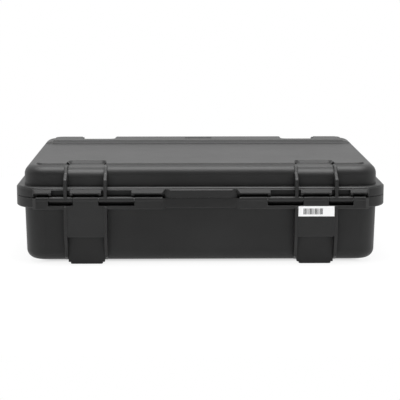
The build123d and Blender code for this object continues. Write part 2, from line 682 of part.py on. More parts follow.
for side_name, side in (("left", -1), ("right", 1)):
    x = side * station_x
    with BuildPart() as latch:
        # Front plate, from the pivot boss down to the lower end
        add(rounded_slice(x, latch_width, [
            (out(FRONT, latch_back), latch_pin_z), (out(FRONT, latch_face), latch_pin_z),
            (out(FRONT, latch_face), latch_low_z + latch_toe_height),
            (out(FRONT, latch_face - latch_toe_slope), latch_low_z),
            (out(FRONT, latch_back - latch_heel), latch_low_z),
            (out(FRONT, latch_back), latch_low_z + latch_toe_height + latch_heel),
        ], [0, 0, latch_toe_height, hook_round, hook_round / 2, latch_toe_height], latch_edge))
        add(rod_x(x - latch_width / 2, x + latch_width / 2, latch_pin_y, latch_pin_z, latch_boss_radius))
        # Side cheeks carry the trigger's pin
        for offset_x in (-latch_width / 2 + cheek_thickness / 2, latch_width / 2 - cheek_thickness / 2):
            add(slice_x(x + offset_x, cheek_thickness, [
                (out(FRONT, latch_back + 1), latch_pin_z - cheek_top),
                (out(FRONT, keeper_reach + cheek_clearance), latch_pin_z - cheek_top - cheek_slope),
                (out(FRONT, keeper_reach + cheek_clearance), latch_low_z + 2 * cheek_slope),
                (out(FRONT, latch_back + 1), latch_low_z + cheek_slope / 2),
            ], [0, cheek_slope / 3, cheek_slope / 2, 0]))
        # Hook under the keeper lip, one at each end of the latch so the trigger has room between them
        for offset_x in (-(latch_width - hook_width) / 2, (latch_width - hook_width) / 2):
            add(slice_x(x + offset_x, hook_width, [
                (out(FRONT, hook_tip), hook_z), (out(FRONT, latch_back + 1), hook_z),
                (out(FRONT, latch_back + 1), hook_z - hook_height - hook_web),
                (out(FRONT, hook_tip), hook_z - hook_height),
            ], [hook_round / 2, 0, 0, hook_round]))
        # Window that the trigger lies in
        add(box_between(
            (x - trigger_width / 2 - trigger_side_gap, out(FRONT, keeper_reach - 1),
             trigger_pin_z - trigger_length - trigger_end_gap),
            (x + trigger_width / 2 + trigger_side_gap, out(FRONT, latch_face + 1),
             trigger_pin_z + trigger_boss_radius + trigger_end_gap)), mode=Mode.SUBTRACT)
        add(rod_x(x - latch_width, x + latch_width, latch_pin_y, latch_pin_z,
                  latch_pin_radius + running_clearance), mode=Mode.SUBTRACT)
        add(rod_x(x - latch_width / 2 - 1, x + latch_width / 2 + 1, trigger_pin_y, trigger_pin_z,
                  trigger_pin_radius + running_clearance), mode=Mode.SUBTRACT)
    save(latch, f"latch_{side_name}")

    with BuildPart() as latch_pin:
        half = rib_spacing / 2 + rib_thickness / 2
        add(rod_x(x - half, x + half, latch_pin_y, latch_pin_z, latch_pin_radius))
        chamfer(latch_pin.faces().filter_by(Axis.X).edges(), pin_chamfer)
    save(latch_pin, f"latch_pin_{side_name}")

    with BuildPart() as trigger:
        half = trigger_width / 2
        add(rod_x(x - half, x + half, trigger_pin_y, trigger_pin_z, trigger_boss_radius))
        add(rounded_slice(x, trigger_width, [
            (trigger_pin_y - 1, trigger_pin_z + trigger_boss_radius - trigger_side_gap),
            (out(FRONT, latch_face - trigger_setback),
             trigger_pin_z + trigger_boss_radius - trigger_side_gap),
            (out(FRONT, latch_face - trigger_setback / 3), trigger_pin_z - trigger_length + trigger_flare),
            (out(FRONT, latch_face + trigger_lip), trigger_pin_z - trigger_length),
            (out(FRONT, latch_face - trigger_thickness), trigger_pin_z - trigger_length),
            (out(FRONT, latch_face - trigger_thickness - trigger_side_gap), trigger_pin_z - trigger_flare),
            (trigger_pin_y - 1, trigger_pin_z - 1),
        ], [0, 0.8, 3, 0.7, 0.7, 2, 0], trigger_edge))
        # The coil spring sits in a notch in the middle of the boss
        notch = spring_turns * spring_pitch + spring_wire + 2 * spring_end_room
        coil_out = spring_coil_radius + spring_wire / 2 + spring_room
        add(box_between((x - notch / 2, trigger_pin_y - coil_out, trigger_pin_z - coil_out),
                        (x + notch / 2, trigger_pin_y + coil_out, trigger_pin_z + coil_out)),
            mode=Mode.SUBTRACT)
        add(rod_x(x - trigger_width, x + trigger_width, trigger_pin_y, trigger_pin_z,
                  trigger_pin_radius + running_clearance), mode=Mode.SUBTRACT)
    save(trigger, f"trigger_{side_name}")

    with BuildPart() as trigger_pin:
        half = latch_width / 2 - trigger_pin_trim
        add(rod_x(x - half, x + half, trigger_pin_y, trigger_pin_z, trigger_pin_radius))
    save(trigger_pin, f"trigger_pin_{side_name}")

    with BuildPart() as trigger_spring:
        coil_length = spring_turns * spring_pitch
        with BuildLine() as coil:
            Helix(pitch=spring_pitch, height=coil_length, radius=spring_coil_radius,
                  center=(x - coil_length / 2, trigger_pin_y, trigger_pin_z), direction=(1, 0, 0))
        with BuildSketch(Plane(origin=coil.line @ 0, z_dir=coil.line % 0)):
            Circle(spring_wire / 2)
        sweep(path=coil.line, is_frenet=True)
    save(trigger_spring, f"trigger_spring_{side_name}")

# ---- Handle -------------------------------------------------------------------------------------

pivot_y = out(FRONT, handle_pivot_out)
grip_y = pivot_y - grip_offset
grip_z = handle_pivot_z - handle_drop

with BuildPart() as handle_frame:
    for side in (-1, 1):
        arm_x = side * handle_span / 2
        add(rounded_slice(arm_x, handle_arm_width, [
            (pivot_y - handle_arm_thickness / 2, handle_pivot_z + handle_arm_thickness / 2),
            (pivot_y + handle_arm_thickness / 2, handle_pivot_z + handle_arm_thickness / 2),
            (grip_y + grip_section[0] / 2, grip_z - grip_section[1] / 2),
            (grip_y - grip_section[0] / 2, grip_z - grip_section[1] / 2),
            (grip_y - grip_section[0] / 2, grip_z + grip_section[1] / 2),
        ], [handle_end_round] * 2 + [handle_corner_round] * 3, handle_edge))
        add(rod_x(arm_x - handle_arm_width, arm_x + handle_arm_width, pivot_y, handle_pivot_z,
                  handle_pin_radius + running_clearance), mode=Mode.SUBTRACT)
    with BuildSketch(Plane.YZ.offset(-handle_span / 2)):
        with Locations((grip_y, grip_z)):
            RectangleRounded(*grip_core, core_round)
    extrude(amount=handle_span)
save(handle_frame, "handle_frame")

with BuildPart() as handle_grip:
    with BuildSketch(Plane.YZ.offset(-grip_width / 2)):
        with Locations((grip_y, grip_z)):
            RectangleRounded(*grip_section, grip_round)
    extrude(amount=grip_width)
    fillet(handle_grip.faces().filter_by(Axis.X).edges(), grip_edge)
    with BuildSketch(Plane.YZ.offset(-grip_width / 2)):
        with Locations((grip_y, grip_z)):
            RectangleRounded(*grip_core, core_round)
    extrude(amount=grip_width, mode=Mode.SUBTRACT)
save(handle_grip, "handle_grip")

for side_name, side in (("left", -1), ("right", 1)):
    with BuildPart() as handle_pin:
        inner = handle_span / 2 - handle_arm_width / 2
        outer = handle_span / 2 + handle_arm_width / 2 + handle_lug_gap + handle_lug_thickness
        x0, x1 = sorted((side * inner, side * outer))
        add(rod_x(x0, x1, pivot_y, handle_pivot_z, handle_pin_radius))
        chamfer(handle_pin.faces().filter_by(Axis.X).edges(), pin_chamfer)
    save(handle_pin, f"handle_pin_{side_name}")

# ---- Pressure valve -----------------------------------------------------------------------------


def valve_disc(reach, thickness, sketch):
    # Solid that grows inwards from a plane this far outside the rim's face.
    with BuildPart() as disc:
        with BuildSketch(Plane.XZ.offset(-out(FRONT, reach))):
            with Locations((valve_x, valve_z)):
                sketch()
        extrude(amount=thickness)
    return disc.part


head_top = valve_head_height - valve_boss_inset
nut_face = -valve_boss_inset - valve_boss_depth

with BuildPart() as valve_body:
    add(valve_disc(head_top, valve_head_height, lambda: Circle(valve_head_radius)))
    fillet(valve_body.faces().sort_by(Axis.Y)[-1].edges(), valve_head_round)
    shaft_length = valve_boss_depth + valve_nut_height + valve_shaft_past
    add(valve_disc(-valve_boss_inset, shaft_length, lambda: Circle(valve_shaft_radius)))
    # Groove for the O-ring in the underside of the head
    groove = valve_seal_section + running_clearance
    add(valve_disc(-valve_boss_inset + 2 * groove, 2 * groove, lambda: (
        Circle(valve_seal_radius + groove), Circle(valve_seal_radius - groove, mode=Mode.SUBTRACT))),
        mode=Mode.SUBTRACT)
    # Six breather ports round the head, and the passage down the shaft
    with BuildSketch(Plane.XZ.offset(-out(FRONT, head_top))):
        with Locations((valve_x, valve_z)):
            with PolarLocations(valve_port_ring, 6):
                Circle(valve_port_radius)
    extrude(amount=valve_port_depth, mode=Mode.SUBTRACT)
    add(valve_disc(-valve_boss_inset, shaft_length + 1, lambda: Circle(valve_passage_radius)),
        mode=Mode.SUBTRACT)
save(valve_body, "valve_body")

with BuildPart() as valve_nut:
    add(valve_disc(nut_face, valve_nut_height,
                   lambda: RegularPolygon(valve_nut_size / 2, 6, major_radius=False)))
    chamfer(valve_nut.faces().sort_by(Axis.Y)[0].edges(), valve_nut_edge)
    bore_radius = valve_shaft_radius + running_clearance
    add(valve_disc(nut_face + 1, valve_nut_height + 2, lambda: Circle(bore_radius)), mode=Mode.SUBTRACT)
save(valve_nut, "valve_nut")

with BuildPart() as valve_seal:
    with BuildSketch(Plane.XY.offset(valve_z)):
        with Locations((valve_x + valve_seal_radius, out(FRONT, -valve_boss_inset + groove))):
            Circle(valve_seal_section)
    revolve(axis=Axis((valve_x, 0, valve_z), (0, 1, 0)), revolution_arc=360)
save(valve_seal, "valve_seal")

# ---- Padlock eyes -------------------------------------------------------------------------------

tab_w, tab_d, tab_h = padlock_tab
plate_w, plate_d, plate_h = padlock_plate
padlock_levels = (
    ("lid", lid_z, lid_z + tab_h),
    ("base", parting_z - tab_h, parting_z - tab_h - plate_h),
)
for side_name, side in (("left", -1), ("right", 1)):
    hole_place = (side * padlock_x, out(FRONT, padlock_hole_out))
    for half_name, tab_low, plate_low in padlock_levels:
        with BuildPart() as lock_tab:
            with BuildSketch(Plane.XY.offset(tab_low)):
                with Locations((side * padlock_x, out(FRONT, tab_d / 2))):
                    Rectangle(tab_w, tab_d)
                with Locations(hole_place):
                    Circle(padlock_hole_radius, mode=Mode.SUBTRACT)
            extrude(amount=tab_h)
            outer_corners = lock_tab.edges().filter_by(Axis.Z).group_by(Axis.Y)[-1]
            fillet(outer_corners, padlock_tab_round)
        save(lock_tab, f"padlock_tab_{half_name}_{side_name}")

        with BuildPart() as lock_plate:
            with BuildSketch(Plane.XY.offset(plate_low)):
                with Locations((side * padlock_x, out(FRONT, tab_d - padlock_plate_inset - plate_d / 2))):
                    RectangleRounded(plate_w, plate_d, padlock_plate_round)
                with Locations(hole_place):
                    Circle(padlock_hole_radius, mode=Mode.SUBTRACT)
            extrude(amount=plate_h)
        save(lock_plate, f"padlock_plate_{half_name}_{side_name}")

# ---- Label --------------------------------------------------------------------------------------

with BuildPart() as label:
    half = station_width / 2 - label_margin
    label_back, label_front = out(REAR, block_reach), out(REAR, block_reach + label_thickness)
    add(box_between((station_x - half, label_back, label_low_z),
                    (station_x + half, label_front, label_low_z + label_height)))
save(label, "label")

# ---- Foam ---------------------------------------------------------------------------------------

with BuildPart() as base_foam:
    foam_top = parting_z - foam_setback
    with BuildSketch(Plane.XY.offset(foam_top)):
        outline(wall + foam_gap)
    extrude(amount=-(base_height - foam_setback - wall - foam_gap), taper=draft_angle)
    fillet(base_foam.faces().sort_by(Axis.Z)[0].edges(), bottom_radius - wall)
    for bay, bay_top in ((laptop_bay, foam_top), (charger_bay, foam_top - laptop_bay[2])):
        with BuildSketch(Plane.XY.offset(bay_top - bay[2])):
            with Locations((0, middle_y)):
                RectangleRounded(bay[0], bay[1], bay_radius)
        extrude(amount=bay[2] + 1, mode=Mode.SUBTRACT)
    # Relief for the valve's nut
    nut_room = valve_nut_size / 2 + valve_relief
    relief_in = nut_face - valve_nut_height - valve_relief
    add(box_between((valve_x - nut_room, out(FRONT, relief_in), valve_z - nut_room),
                    (valve_x + nut_room, out(FRONT, -rim_overhang), foam_top + 1)),
        mode=Mode.SUBTRACT)
save(base_foam, "base_foam")

with BuildPart() as lid_foam:
    with BuildSketch(Plane.XY.offset(lid_z + lid_foam_setback)):
        outline(wall + foam_gap)
    extrude(amount=panel_z - wall - foam_gap - lid_z - lid_foam_setback, taper=draft_angle)
    fillet(lid_foam.faces().sort_by(Axis.Z)[-1].edges(), shoulder_radius - wall)
save(lid_foam, "lid_foam")
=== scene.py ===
import math

import bmesh
import bpy
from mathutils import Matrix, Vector, noise as wobble


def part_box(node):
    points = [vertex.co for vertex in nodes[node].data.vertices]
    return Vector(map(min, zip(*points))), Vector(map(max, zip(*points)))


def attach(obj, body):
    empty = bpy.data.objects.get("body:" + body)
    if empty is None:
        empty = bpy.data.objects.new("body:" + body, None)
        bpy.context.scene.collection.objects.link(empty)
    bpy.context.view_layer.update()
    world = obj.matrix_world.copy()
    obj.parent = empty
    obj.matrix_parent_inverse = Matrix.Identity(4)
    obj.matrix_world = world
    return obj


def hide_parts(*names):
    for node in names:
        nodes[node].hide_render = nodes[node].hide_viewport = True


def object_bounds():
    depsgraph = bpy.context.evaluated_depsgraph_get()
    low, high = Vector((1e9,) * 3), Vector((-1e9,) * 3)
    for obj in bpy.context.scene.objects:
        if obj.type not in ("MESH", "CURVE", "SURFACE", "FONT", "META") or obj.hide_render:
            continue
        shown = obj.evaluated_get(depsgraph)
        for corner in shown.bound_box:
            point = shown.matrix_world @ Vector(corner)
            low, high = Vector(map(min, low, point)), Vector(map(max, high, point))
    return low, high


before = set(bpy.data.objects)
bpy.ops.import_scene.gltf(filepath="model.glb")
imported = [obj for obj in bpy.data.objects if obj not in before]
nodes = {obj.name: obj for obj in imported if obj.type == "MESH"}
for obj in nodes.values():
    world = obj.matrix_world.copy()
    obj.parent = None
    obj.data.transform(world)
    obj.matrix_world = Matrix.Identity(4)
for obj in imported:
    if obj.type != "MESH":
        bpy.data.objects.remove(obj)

cadLow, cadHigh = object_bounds()
mm = 0.001
print("frame loaded")

# Where things are, read from the frame
foamLow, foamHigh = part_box("base_foam")
lidFoamLow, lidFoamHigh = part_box("lid_foam")
sealLow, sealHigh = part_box("lid_seal")
gripLow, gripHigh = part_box("handle_grip")
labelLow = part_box("label")[0]
nutLow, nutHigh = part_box("valve_nut")


# Small helpers for node trees

def newMaterial(name):
    material = bpy.data.materials.new(name)
    material.use_nodes = True
    tree = material.node_tree
    return material, tree, tree.nodes["Principled BSDF"]


def addNode(tree, kind, **settings):
    # A setting goes to the input of that name, or else to the node itself
    node = tree.nodes.new(kind)
    for key, value in settings.items():
        if key in node.inputs:
            node.inputs[key].default_value = value
        else:
            setattr(node, key, value)
    return node


def fill(tree, socket, value):
    # A socket takes the output of another node or a plain value
    if isinstance(value, bpy.types.NodeSocket):
        tree.links.new(value, socket)
    else:
        socket.default_value = value


def grey(tone):
    return (tone, tone, tone, 1.0)


def objectCoords(tree):
    return addNode(tree, "ShaderNodeTexCoord").outputs["Object"]


def noise(tree, coords, scale, detail=3.0, rough=0.5):
    node = addNode(tree, "ShaderNodeTexNoise", Scale=scale, Detail=detail, Roughness=rough)
    tree.links.new(coords, node.inputs["Vector"])
    return node.outputs["Fac"]


def ramp(tree, source, *stops):
    # Each stop is (place, tone)
    node = addNode(tree, "ShaderNodeValToRGB")
    points = node.color_ramp.elements
    while len(points) < len(stops):
        points.new(0.5)
    for point, (place, tone) in zip(points, stops):
        point.position = place
        point.color = grey(tone)
    tree.links.new(source, node.inputs["Fac"])
    return node.outputs["Color"]


def blendBetween(tree, factor, low, high):
    node = addNode(tree, "ShaderNodeMapRange")
    fill(tree, node.inputs["Value"], factor)
    fill(tree, node.inputs["To Min"], low)
    fill(tree, node.inputs["To Max"], high)
    return node.outputs["Result"]


def mixColour(tree, factor, first, second, blend="MIX"):
    node = addNode(tree, "ShaderNodeMix", data_type="RGBA", blend_type=blend)
    for index, value in ((0, factor), (6, first), (7, second)):   # a Mix node's factor and two colours
        fill(tree, node.inputs[index], value)
    return node.outputs[2]


def maths(tree, operation, first, second=None):
    node = addNode(tree, "ShaderNodeMath", operation=operation)
    fill(tree, node.inputs[0], first)
    if second is not None:
        fill(tree, node.inputs[1], second)
    return node.outputs[0]


def bumpFrom(tree, shader, layers, softEdge=0.0):
    # Each layer is (height output, distance in metres, strength)
    normal = None
    if softEdge:
        bevel = addNode(tree, "ShaderNodeBevel", samples=4, Radius=softEdge)
        normal = bevel.outputs["Normal"]
    for height, distance, strength in layers:
        bump = addNode(tree, "ShaderNodeBump", Distance=distance, Strength=strength)
        tree.links.new(height, bump.inputs["Height"])
        if normal:
            tree.links.new(normal, bump.inputs["Normal"])
        normal = bump.outputs["Normal"]
    tree.links.new(normal, shader.inputs["Normal"])


def edgeMask(tree, radius, low, high):
    # 1 on outer edges: where the rounded normal leaves the true one
    bevel = addNode(tree, "ShaderNodeBevel", samples=4, Radius=radius)
    geometry = addNode(tree, "ShaderNodeNewGeometry")
    dot = addNode(tree, "ShaderNodeVectorMath", operation="DOT_PRODUCT")
    tree.links.new(bevel.outputs["Normal"], dot.inputs[0])
    tree.links.new(geometry.outputs["Normal"], dot.inputs[1])
    return ramp(tree, dot.outputs["Value"], (low, 1.0), (high, 0.0))


# Moulded plastic: cloudy black, paler worn edges in patches, painted shade in nooks and two sizes of
# grain

shellFinish = {
    "dark": 0.013, "pale": 0.019, "cloudScale": 9.0, "cloudRange": (0.35, 0.7),
    "worn": 0.06, "wearScale": 60.0, "wearRange": (0.42, 0.72), "wearShare": 0.55,
    "softEdge": 0.0007, "edgeReach": 1.6, "edgeRange": (0.90, 0.995),
    # The next line sets the painted shade in nooks: how far it reaches, how dark it gets, and over which
    # occlusion range
    "paintedShadeReach": 0.012, "paintedShadeTone": 0.1, "paintedShadeRange": (0.2, 0.75),
    "roughLow": 0.44, "roughHigh": 0.49, "roughScale": 34.0, "specular": 0.34,
    "pebbleScale": 330.0, "pebble": (0.00014, 0.5),     # depth in metres and strength
    "grainScale": 900.0, "grain": (0.00006, 0.6)}
latchFinish = {**shellFinish, "dark": 0.011, "pale": 0.016, "roughLow": 0.37, "roughHigh": 0.43}
valveFinish = {**shellFinish, "pebbleScale": 700.0, "roughLow": 0.3, "roughHigh": 0.4}


def mouldedPlastic(name, finish):
    material, tree, shader = newMaterial(name)
    coords = objectCoords(tree)
    low, high = finish["cloudRange"]
    cloud = noise(tree, coords, finish["cloudScale"], detail=4.0)
    colour = ramp(tree, cloud, (low, finish["dark"]), (high, finish["pale"]))
    low, high = finish["wearRange"]
    patches = noise(tree, coords, finish["wearScale"], detail=5.0, rough=0.65)
    patches = ramp(tree, patches, (low, 0.0), (high, finish["wearShare"]))
    edges = edgeMask(tree, finish["softEdge"] * finish["edgeReach"], *finish["edgeRange"])
    wear = maths(tree, "MULTIPLY", edges, patches)
    colour = mixColour(tree, wear, colour, grey(finish["worn"]))
    # Painted shade: slots and deep corners are darkened in the colour by an ambient-occlusion mask
    low, high = finish["paintedShadeRange"]
    paintedShadeAO = addNode(tree, "ShaderNodeAmbientOcclusion", samples=6, Distance=finish["paintedShadeReach"])
    shade = ramp(tree, paintedShadeAO.outputs["AO"], (low, finish["paintedShadeTone"]), (high, 1.0))
    colour = mixColour(tree, 1.0, colour, shade, blend="MULTIPLY")
    tree.links.new(colour, shader.inputs["Base Color"])
    shader.inputs["Specular IOR Level"].default_value = finish["specular"]
    smudges = noise(tree, coords, finish["roughScale"], detail=5.0)
    rough = blendBetween(tree, smudges, finish["roughLow"], finish["roughHigh"])
    tree.links.new(rough, shader.inputs["Roughness"])
    grain = noise(tree, coords, finish["grainScale"], detail=2.0)
    pebble = noise(tree, coords, finish["pebbleScale"], detail=2.0)
    layers = [(pebble, *finish["pebble"]), (grain, *finish["grain"])]
    bumpFrom(tree, shader, layers, finish["softEdge"])
    return material


# Soft rubber, for seals and the handle's grip

sealFinish = {"tone": 0.014, "paleness": 1.6, "cloudScale": 25.0, "cloudRange": (0.3, 0.8),
              "rough": 0.62, "roughSwing": 0.08, "roughScale": 80.0, "specular": 0.3,
              "grainScale": 1400.0, "grain": (0.00004, 0.5)}     # depth in metres and strength
gripFinish = {**sealFinish, "tone": 0.018, "rough": 0.7}


def softRubber(name, finish):
    material, tree, shader = newMaterial(name)
    coords = objectCoords(tree)
    low, high = finish["cloudRange"]
    cloud = noise(tree, coords, finish["cloudScale"], detail=4.0)
    colour = ramp(tree, cloud, (low, finish["tone"]), (high, finish["tone"] * finish["paleness"]))
    tree.links.new(colour, shader.inputs["Base Color"])
    smudges = noise(tree, coords, finish["roughScale"])
    rough = blendBetween(tree, smudges, finish["rough"] - finish["roughSwing"],
                         finish["rough"] + finish["roughSwing"])
    tree.links.new(rough, shader.inputs["Roughness"])
    shader.inputs["Specular IOR Level"].default_value = finish["specular"]
    grain = noise(tree, coords, finish["grainScale"], detail=2.0)
    bumpFrom(tree, shader, [(grain, *finish["grain"])])
    return material


# Satin steel, brushed along X

steelFinish = {"stretch": (1.0, 30.0, 30.0), "lineScale": 120.0, "lineRange": (0.3, 0.7),
               "dark": 0.46, "pale": 0.6, "roughLow": 0.24, "roughHigh": 0.4,
               "scratch": (0.00002, 0.4)}     # depth in metres and strength


def brushedSteel(name, finish):
    material, tree, shader = newMaterial(name)
    stretch = addNode(tree, "ShaderNodeMapping", Scale=finish["stretch"])
    tree.links.new(objectCoords(tree), stretch.inputs["Vector"])
    lines = noise(tree, stretch.outputs["Vector"], finish["lineScale"], detail=4.0)
    low, high = finish["lineRange"]
    colour = ramp(tree, lines, (low, finish["dark"]), (high, finish["pale"]))
    tree.links.new(colour, shader.inputs["Base Color"])
    shader.inputs["Metallic"].default_value = 1.0
    rough = blendBetween(tree, lines, finish["roughLow"], finish["roughHigh"])
    tree.links.new(rough, shader.inputs["Roughness"])
    bumpFrom(tree, shader, [(lines, *finish["scratch"])])
    return material


# White label film with one row of plain bars, in mm from its left and lower edges

labelFinish = {"paper": 0.93, "ink": 0.03, "barsFrom": 6.3, "barsTo": 33.2, "low": 2.8, "high": 11.0,
               "pitch": 1.7, "share": 0.58, "swing": 0.2, "swingPitch": 7.3,
               "rough": 0.45, "grainScale": 140.0, "grain": (0.00004, 0.3)}


def printedFilm(name, finish, corner):
    material, tree, shader = newMaterial(name)
    coords = addNode(tree, "ShaderNodeSeparateXYZ")
    tree.links.new(objectCoords(tree), coords.inputs[0])
    along = maths(tree, "SUBTRACT", coords.outputs["X"], corner.x)
    up = maths(tree, "SUBTRACT", coords.outputs["Z"], corner.z)
    repeat = maths(tree, "FRACT", maths(tree, "DIVIDE", along, finish["pitch"] * mm))
    # The bars grow wider and narrower in a slow wave
    turn = maths(tree, "MULTIPLY", along, 2 * math.pi / (finish["swingPitch"] * mm))
    swing = maths(tree, "MULTIPLY", maths(tree, "SINE", turn), finish["swing"])
    bars = maths(tree, "LESS_THAN", repeat, maths(tree, "ADD", swing, finish["share"]))
    limits = [maths(tree, "GREATER_THAN", along, finish["barsFrom"] * mm),
              maths(tree, "LESS_THAN", along, finish["barsTo"] * mm),
              maths(tree, "GREATER_THAN", up, finish["low"] * mm),
              maths(tree, "LESS_THAN", up, finish["high"] * mm)]
    for limit in limits:
        bars = maths(tree, "MULTIPLY", bars, limit)
    colour = ramp(tree, bars, (0.0, finish["paper"]), (1.0, finish["ink"]))
    tree.links.new(colour, shader.inputs["Base Color"])
    shader.inputs["Roughness"].default_value = finish["rough"]
    grain = noise(tree, objectCoords(tree), finish["grainScale"])
    bumpFrom(tree, shader, [(grain, *finish["grain"])])
    return material


# Open-cell foam: painted shade in the cells' pits, paler on the walls between them

foamFinish = {"tone": 0.045, "pitShade": 0.35, "cellPale": 1.25, "cellRange": (0.1, 0.5),
              "cellScale": 1100.0, "cell": (0.0003, 0.7),     # depth in metres and strength
              "lumpScale": 260.0, "lump": (0.0004, 0.5),
              "rough": 0.95, "specular": 0.1, "sheen": 0.25, "sheenRough": 0.6}


def openFoam(name, finish):
    material, tree, shader = newMaterial(name)
    coords = objectCoords(tree)
    cells = addNode(tree, "ShaderNodeTexVoronoi", Scale=finish["cellScale"])
    tree.links.new(coords, cells.inputs["Vector"])
    # Painted shade: the colour is darker in the pits of the cells, which the bump below also sinks, and
    # paler on their walls
    low, high = finish["cellRange"]
    pitShadeColour = ramp(tree, cells.outputs["Distance"], (low, finish["tone"] * finish["pitShade"]),
                   (high, finish["tone"] * finish["cellPale"]))
    tree.links.new(pitShadeColour, shader.inputs["Base Color"])
    shader.inputs["Roughness"].default_value = finish["rough"]
    shader.inputs["Specular IOR Level"].default_value = finish["specular"]
    shader.inputs["Sheen Weight"].default_value = finish["sheen"]
    shader.inputs["Sheen Roughness"].default_value = finish["sheenRough"]
    lumps = noise(tree, coords, finish["lumpScale"])
    bumpFrom(tree, shader, [(lumps, *finish["lump"]), (cells.outputs["Distance"], *finish["cell"])])
    return material


shellPlastic = mouldedPlastic("shellPlastic", shellFinish)
latchPlastic = mouldedPlastic("latchPlastic", latchFinish)
valvePlastic = mouldedPlastic("valvePlastic", valveFinish)
sealRubber = softRubber("sealRubber", sealFinish)
gripRubber = softRubber("gripRubber", gripFinish)
steel = brushedSteel("satinSteel", steelFinish)
film = printedFilm("labelFilm", labelFinish, labelLow)
foam = openFoam("openFoam", foamFinish)

finishOf = {"base_shell": shellPlastic, "lid_shell": shellPlastic, "lid_seal": sealRubber,
            "valve_body": valvePlastic, "valve_nut": valvePlastic, "valve_seal": sealRubber,
            "handle_frame": latchPlastic, "handle_grip": gripRubber, "label": film,
            "base_foam": foam, "lid_foam": foam}
steelNodes = ("latch_pin", "trigger_pin", "hinge_pin", "handle_pin", "trigger_spring", "padlock_plate")
for name, node in nodes.items():
    if name.startswith(steelNodes):
        finish = steel
    elif name.startswith(("latch_", "trigger_")):
        finish = latchPlastic
    elif name.startswith("padlock_tab"):
        finish = shellPlastic
    else:
        finish = finishOf[name]
    for slot in node.material_slots:
        slot.material = finish
print("materials done")


# Helpers for meshes

def addObject(name, data):
    thing = bpy.data.objects.new(name, data)
    bpy.context.scene.collection.objects.link(thing)
    return thing


def meshFrom(name, build):
    mesh = bpy.data.meshes.new(name)
    build.to_mesh(mesh)
    build.free()
    return mesh


def smoothMesh(mesh, degrees=None):
    mesh.polygons.foreach_set("use_smooth", [True] * len(mesh.polygons))
    if degrees:
        mesh.set_sharp_from_angle(angle=math.radians(degrees))


def boxMiddle(low, high, inset):
    # Middle and half sizes, in X and Y, of a box taken in by the inset
    centre = ((low.x + high.x) / 2, (low.y + high.y) / 2)
    return centre, (high.x - low.x) / 2 - inset, (high.y - low.y) / 2 - inset


def roundedLoop(centre, halfX, halfY, radius, arcSteps=10, sideSteps=(60, 42)):
    # Points round a rectangle with rounded corners, the same number for every size
    points = []
    for quarter in range(4):
        turn = quarter * math.pi / 2
        signX = 1 if quarter in (0, 3) else -1
        signY = 1 if quarter in (0, 1) else -1
        cornerX = centre[0] + signX * (halfX - radius)
        cornerY = centre[1] + signY * (halfY - radius)
        for step in range(arcSteps + 1):
            angle = turn + step / arcSteps * math.pi / 2
            points.append((cornerX + radius * math.cos(angle), cornerY + radius * math.sin(angle)))
        # The straight side that follows this corner
        steps = sideSteps[quarter % 2]
        x0, y0 = points[-1]
        x1 = x0 if quarter % 2 else 2 * centre[0] - x0
        y1 = 2 * centre[1] - y0 if quarter % 2 else y0
        points += [(x0 + (x1 - x0) * k / steps, y0 + (y1 - y0) * k / steps) for k in range(1, steps)]
    return points


def ringAt(z, centre, halfX, halfY, radius):
    return [(x, y, z) for x, y in roundedLoop(centre, halfX, halfY, radius)]


def loftRings(name, rings, closed=False):
    # Skin over rings of equal length; an open row of rings is capped at both ends
    build = bmesh.new()
    rows = [[build.verts.new(point) for point in ring] for ring in rings]
    pairs = list(zip(rows, rows[1:])) + ([(rows[-1], rows[0])] if closed else [])
    for lower, upper in pairs:
        for k in range(len(lower)):
            after = (k + 1) % len(lower)
            build.faces.new((lower[k], lower[after], upper[after], upper[k]))
    if not closed:
        build.faces.new(rows[0])
        build.faces.new(rows[-1])
    bmesh.ops.recalc_face_normals(build, faces=build.faces)
    return meshFrom(name, build)


def bakeModifiers(piece):
    # The evaluated shape becomes the piece's own mesh
    bpy.context.view_layer.update()
    depsgraph = bpy.context.evaluated_depsgraph_get()
    mesh = bpy.data.meshes.new_from_object(piece.evaluated_get(depsgraph))
    piece.modifiers.clear()
    piece.data = mesh


# Helpers for Geometry Nodes

def newTree(name, sizes):
    # A geometry input and output, and one named input for each size
    tree = bpy.data.node_groups.new(name, "GeometryNodeTree")
    tree.interface.new_socket("Geometry", in_out="INPUT", socket_type="NodeSocketGeometry")
    for title, value in sizes.items():
        kind = "NodeSocketInt" if isinstance(value, int) else "NodeSocketFloat"
        if isinstance(value, bpy.types.Material):
            kind = "NodeSocketMaterial"
        elif isinstance(value, tuple):
            kind = "NodeSocketVector"
        tree.interface.new_socket(title, in_out="INPUT", socket_type=kind)
    tree.interface.new_socket("Geometry", in_out="OUTPUT", socket_type="NodeSocketGeometry")
    return tree, addNode(tree, "NodeGroupInput"), addNode(tree, "NodeGroupOutput")


def finishTree(tree, geometry, groupIn, groupOut):
    realize = addNode(tree, "GeometryNodeRealizeInstances")
    setMaterial = addNode(tree, "GeometryNodeSetMaterial")
    tree.links.new(geometry, realize.inputs["Geometry"])
    tree.links.new(realize.outputs["Geometry"], setMaterial.inputs["Geometry"])
    tree.links.new(groupIn.outputs["Material"], setMaterial.inputs["Material"])
    tree.links.new(setMaterial.outputs["Geometry"], groupOut.inputs[0])


def growTree(piece, tree, sizes):
    modifier = piece.modifiers.new(tree.name, "NODES")
    modifier.node_group = tree
    for item in tree.interface.items_tree:
        if item.in_out == "INPUT" and item.name in sizes:
            modifier[item.identifier] = sizes[item.name]
    bakeModifiers(piece)


def combine(tree, **parts):
    node = addNode(tree, "ShaderNodeCombineXYZ")
    for axis, value in parts.items():
        tree.links.new(value, node.inputs[axis])
    return node.outputs[0]


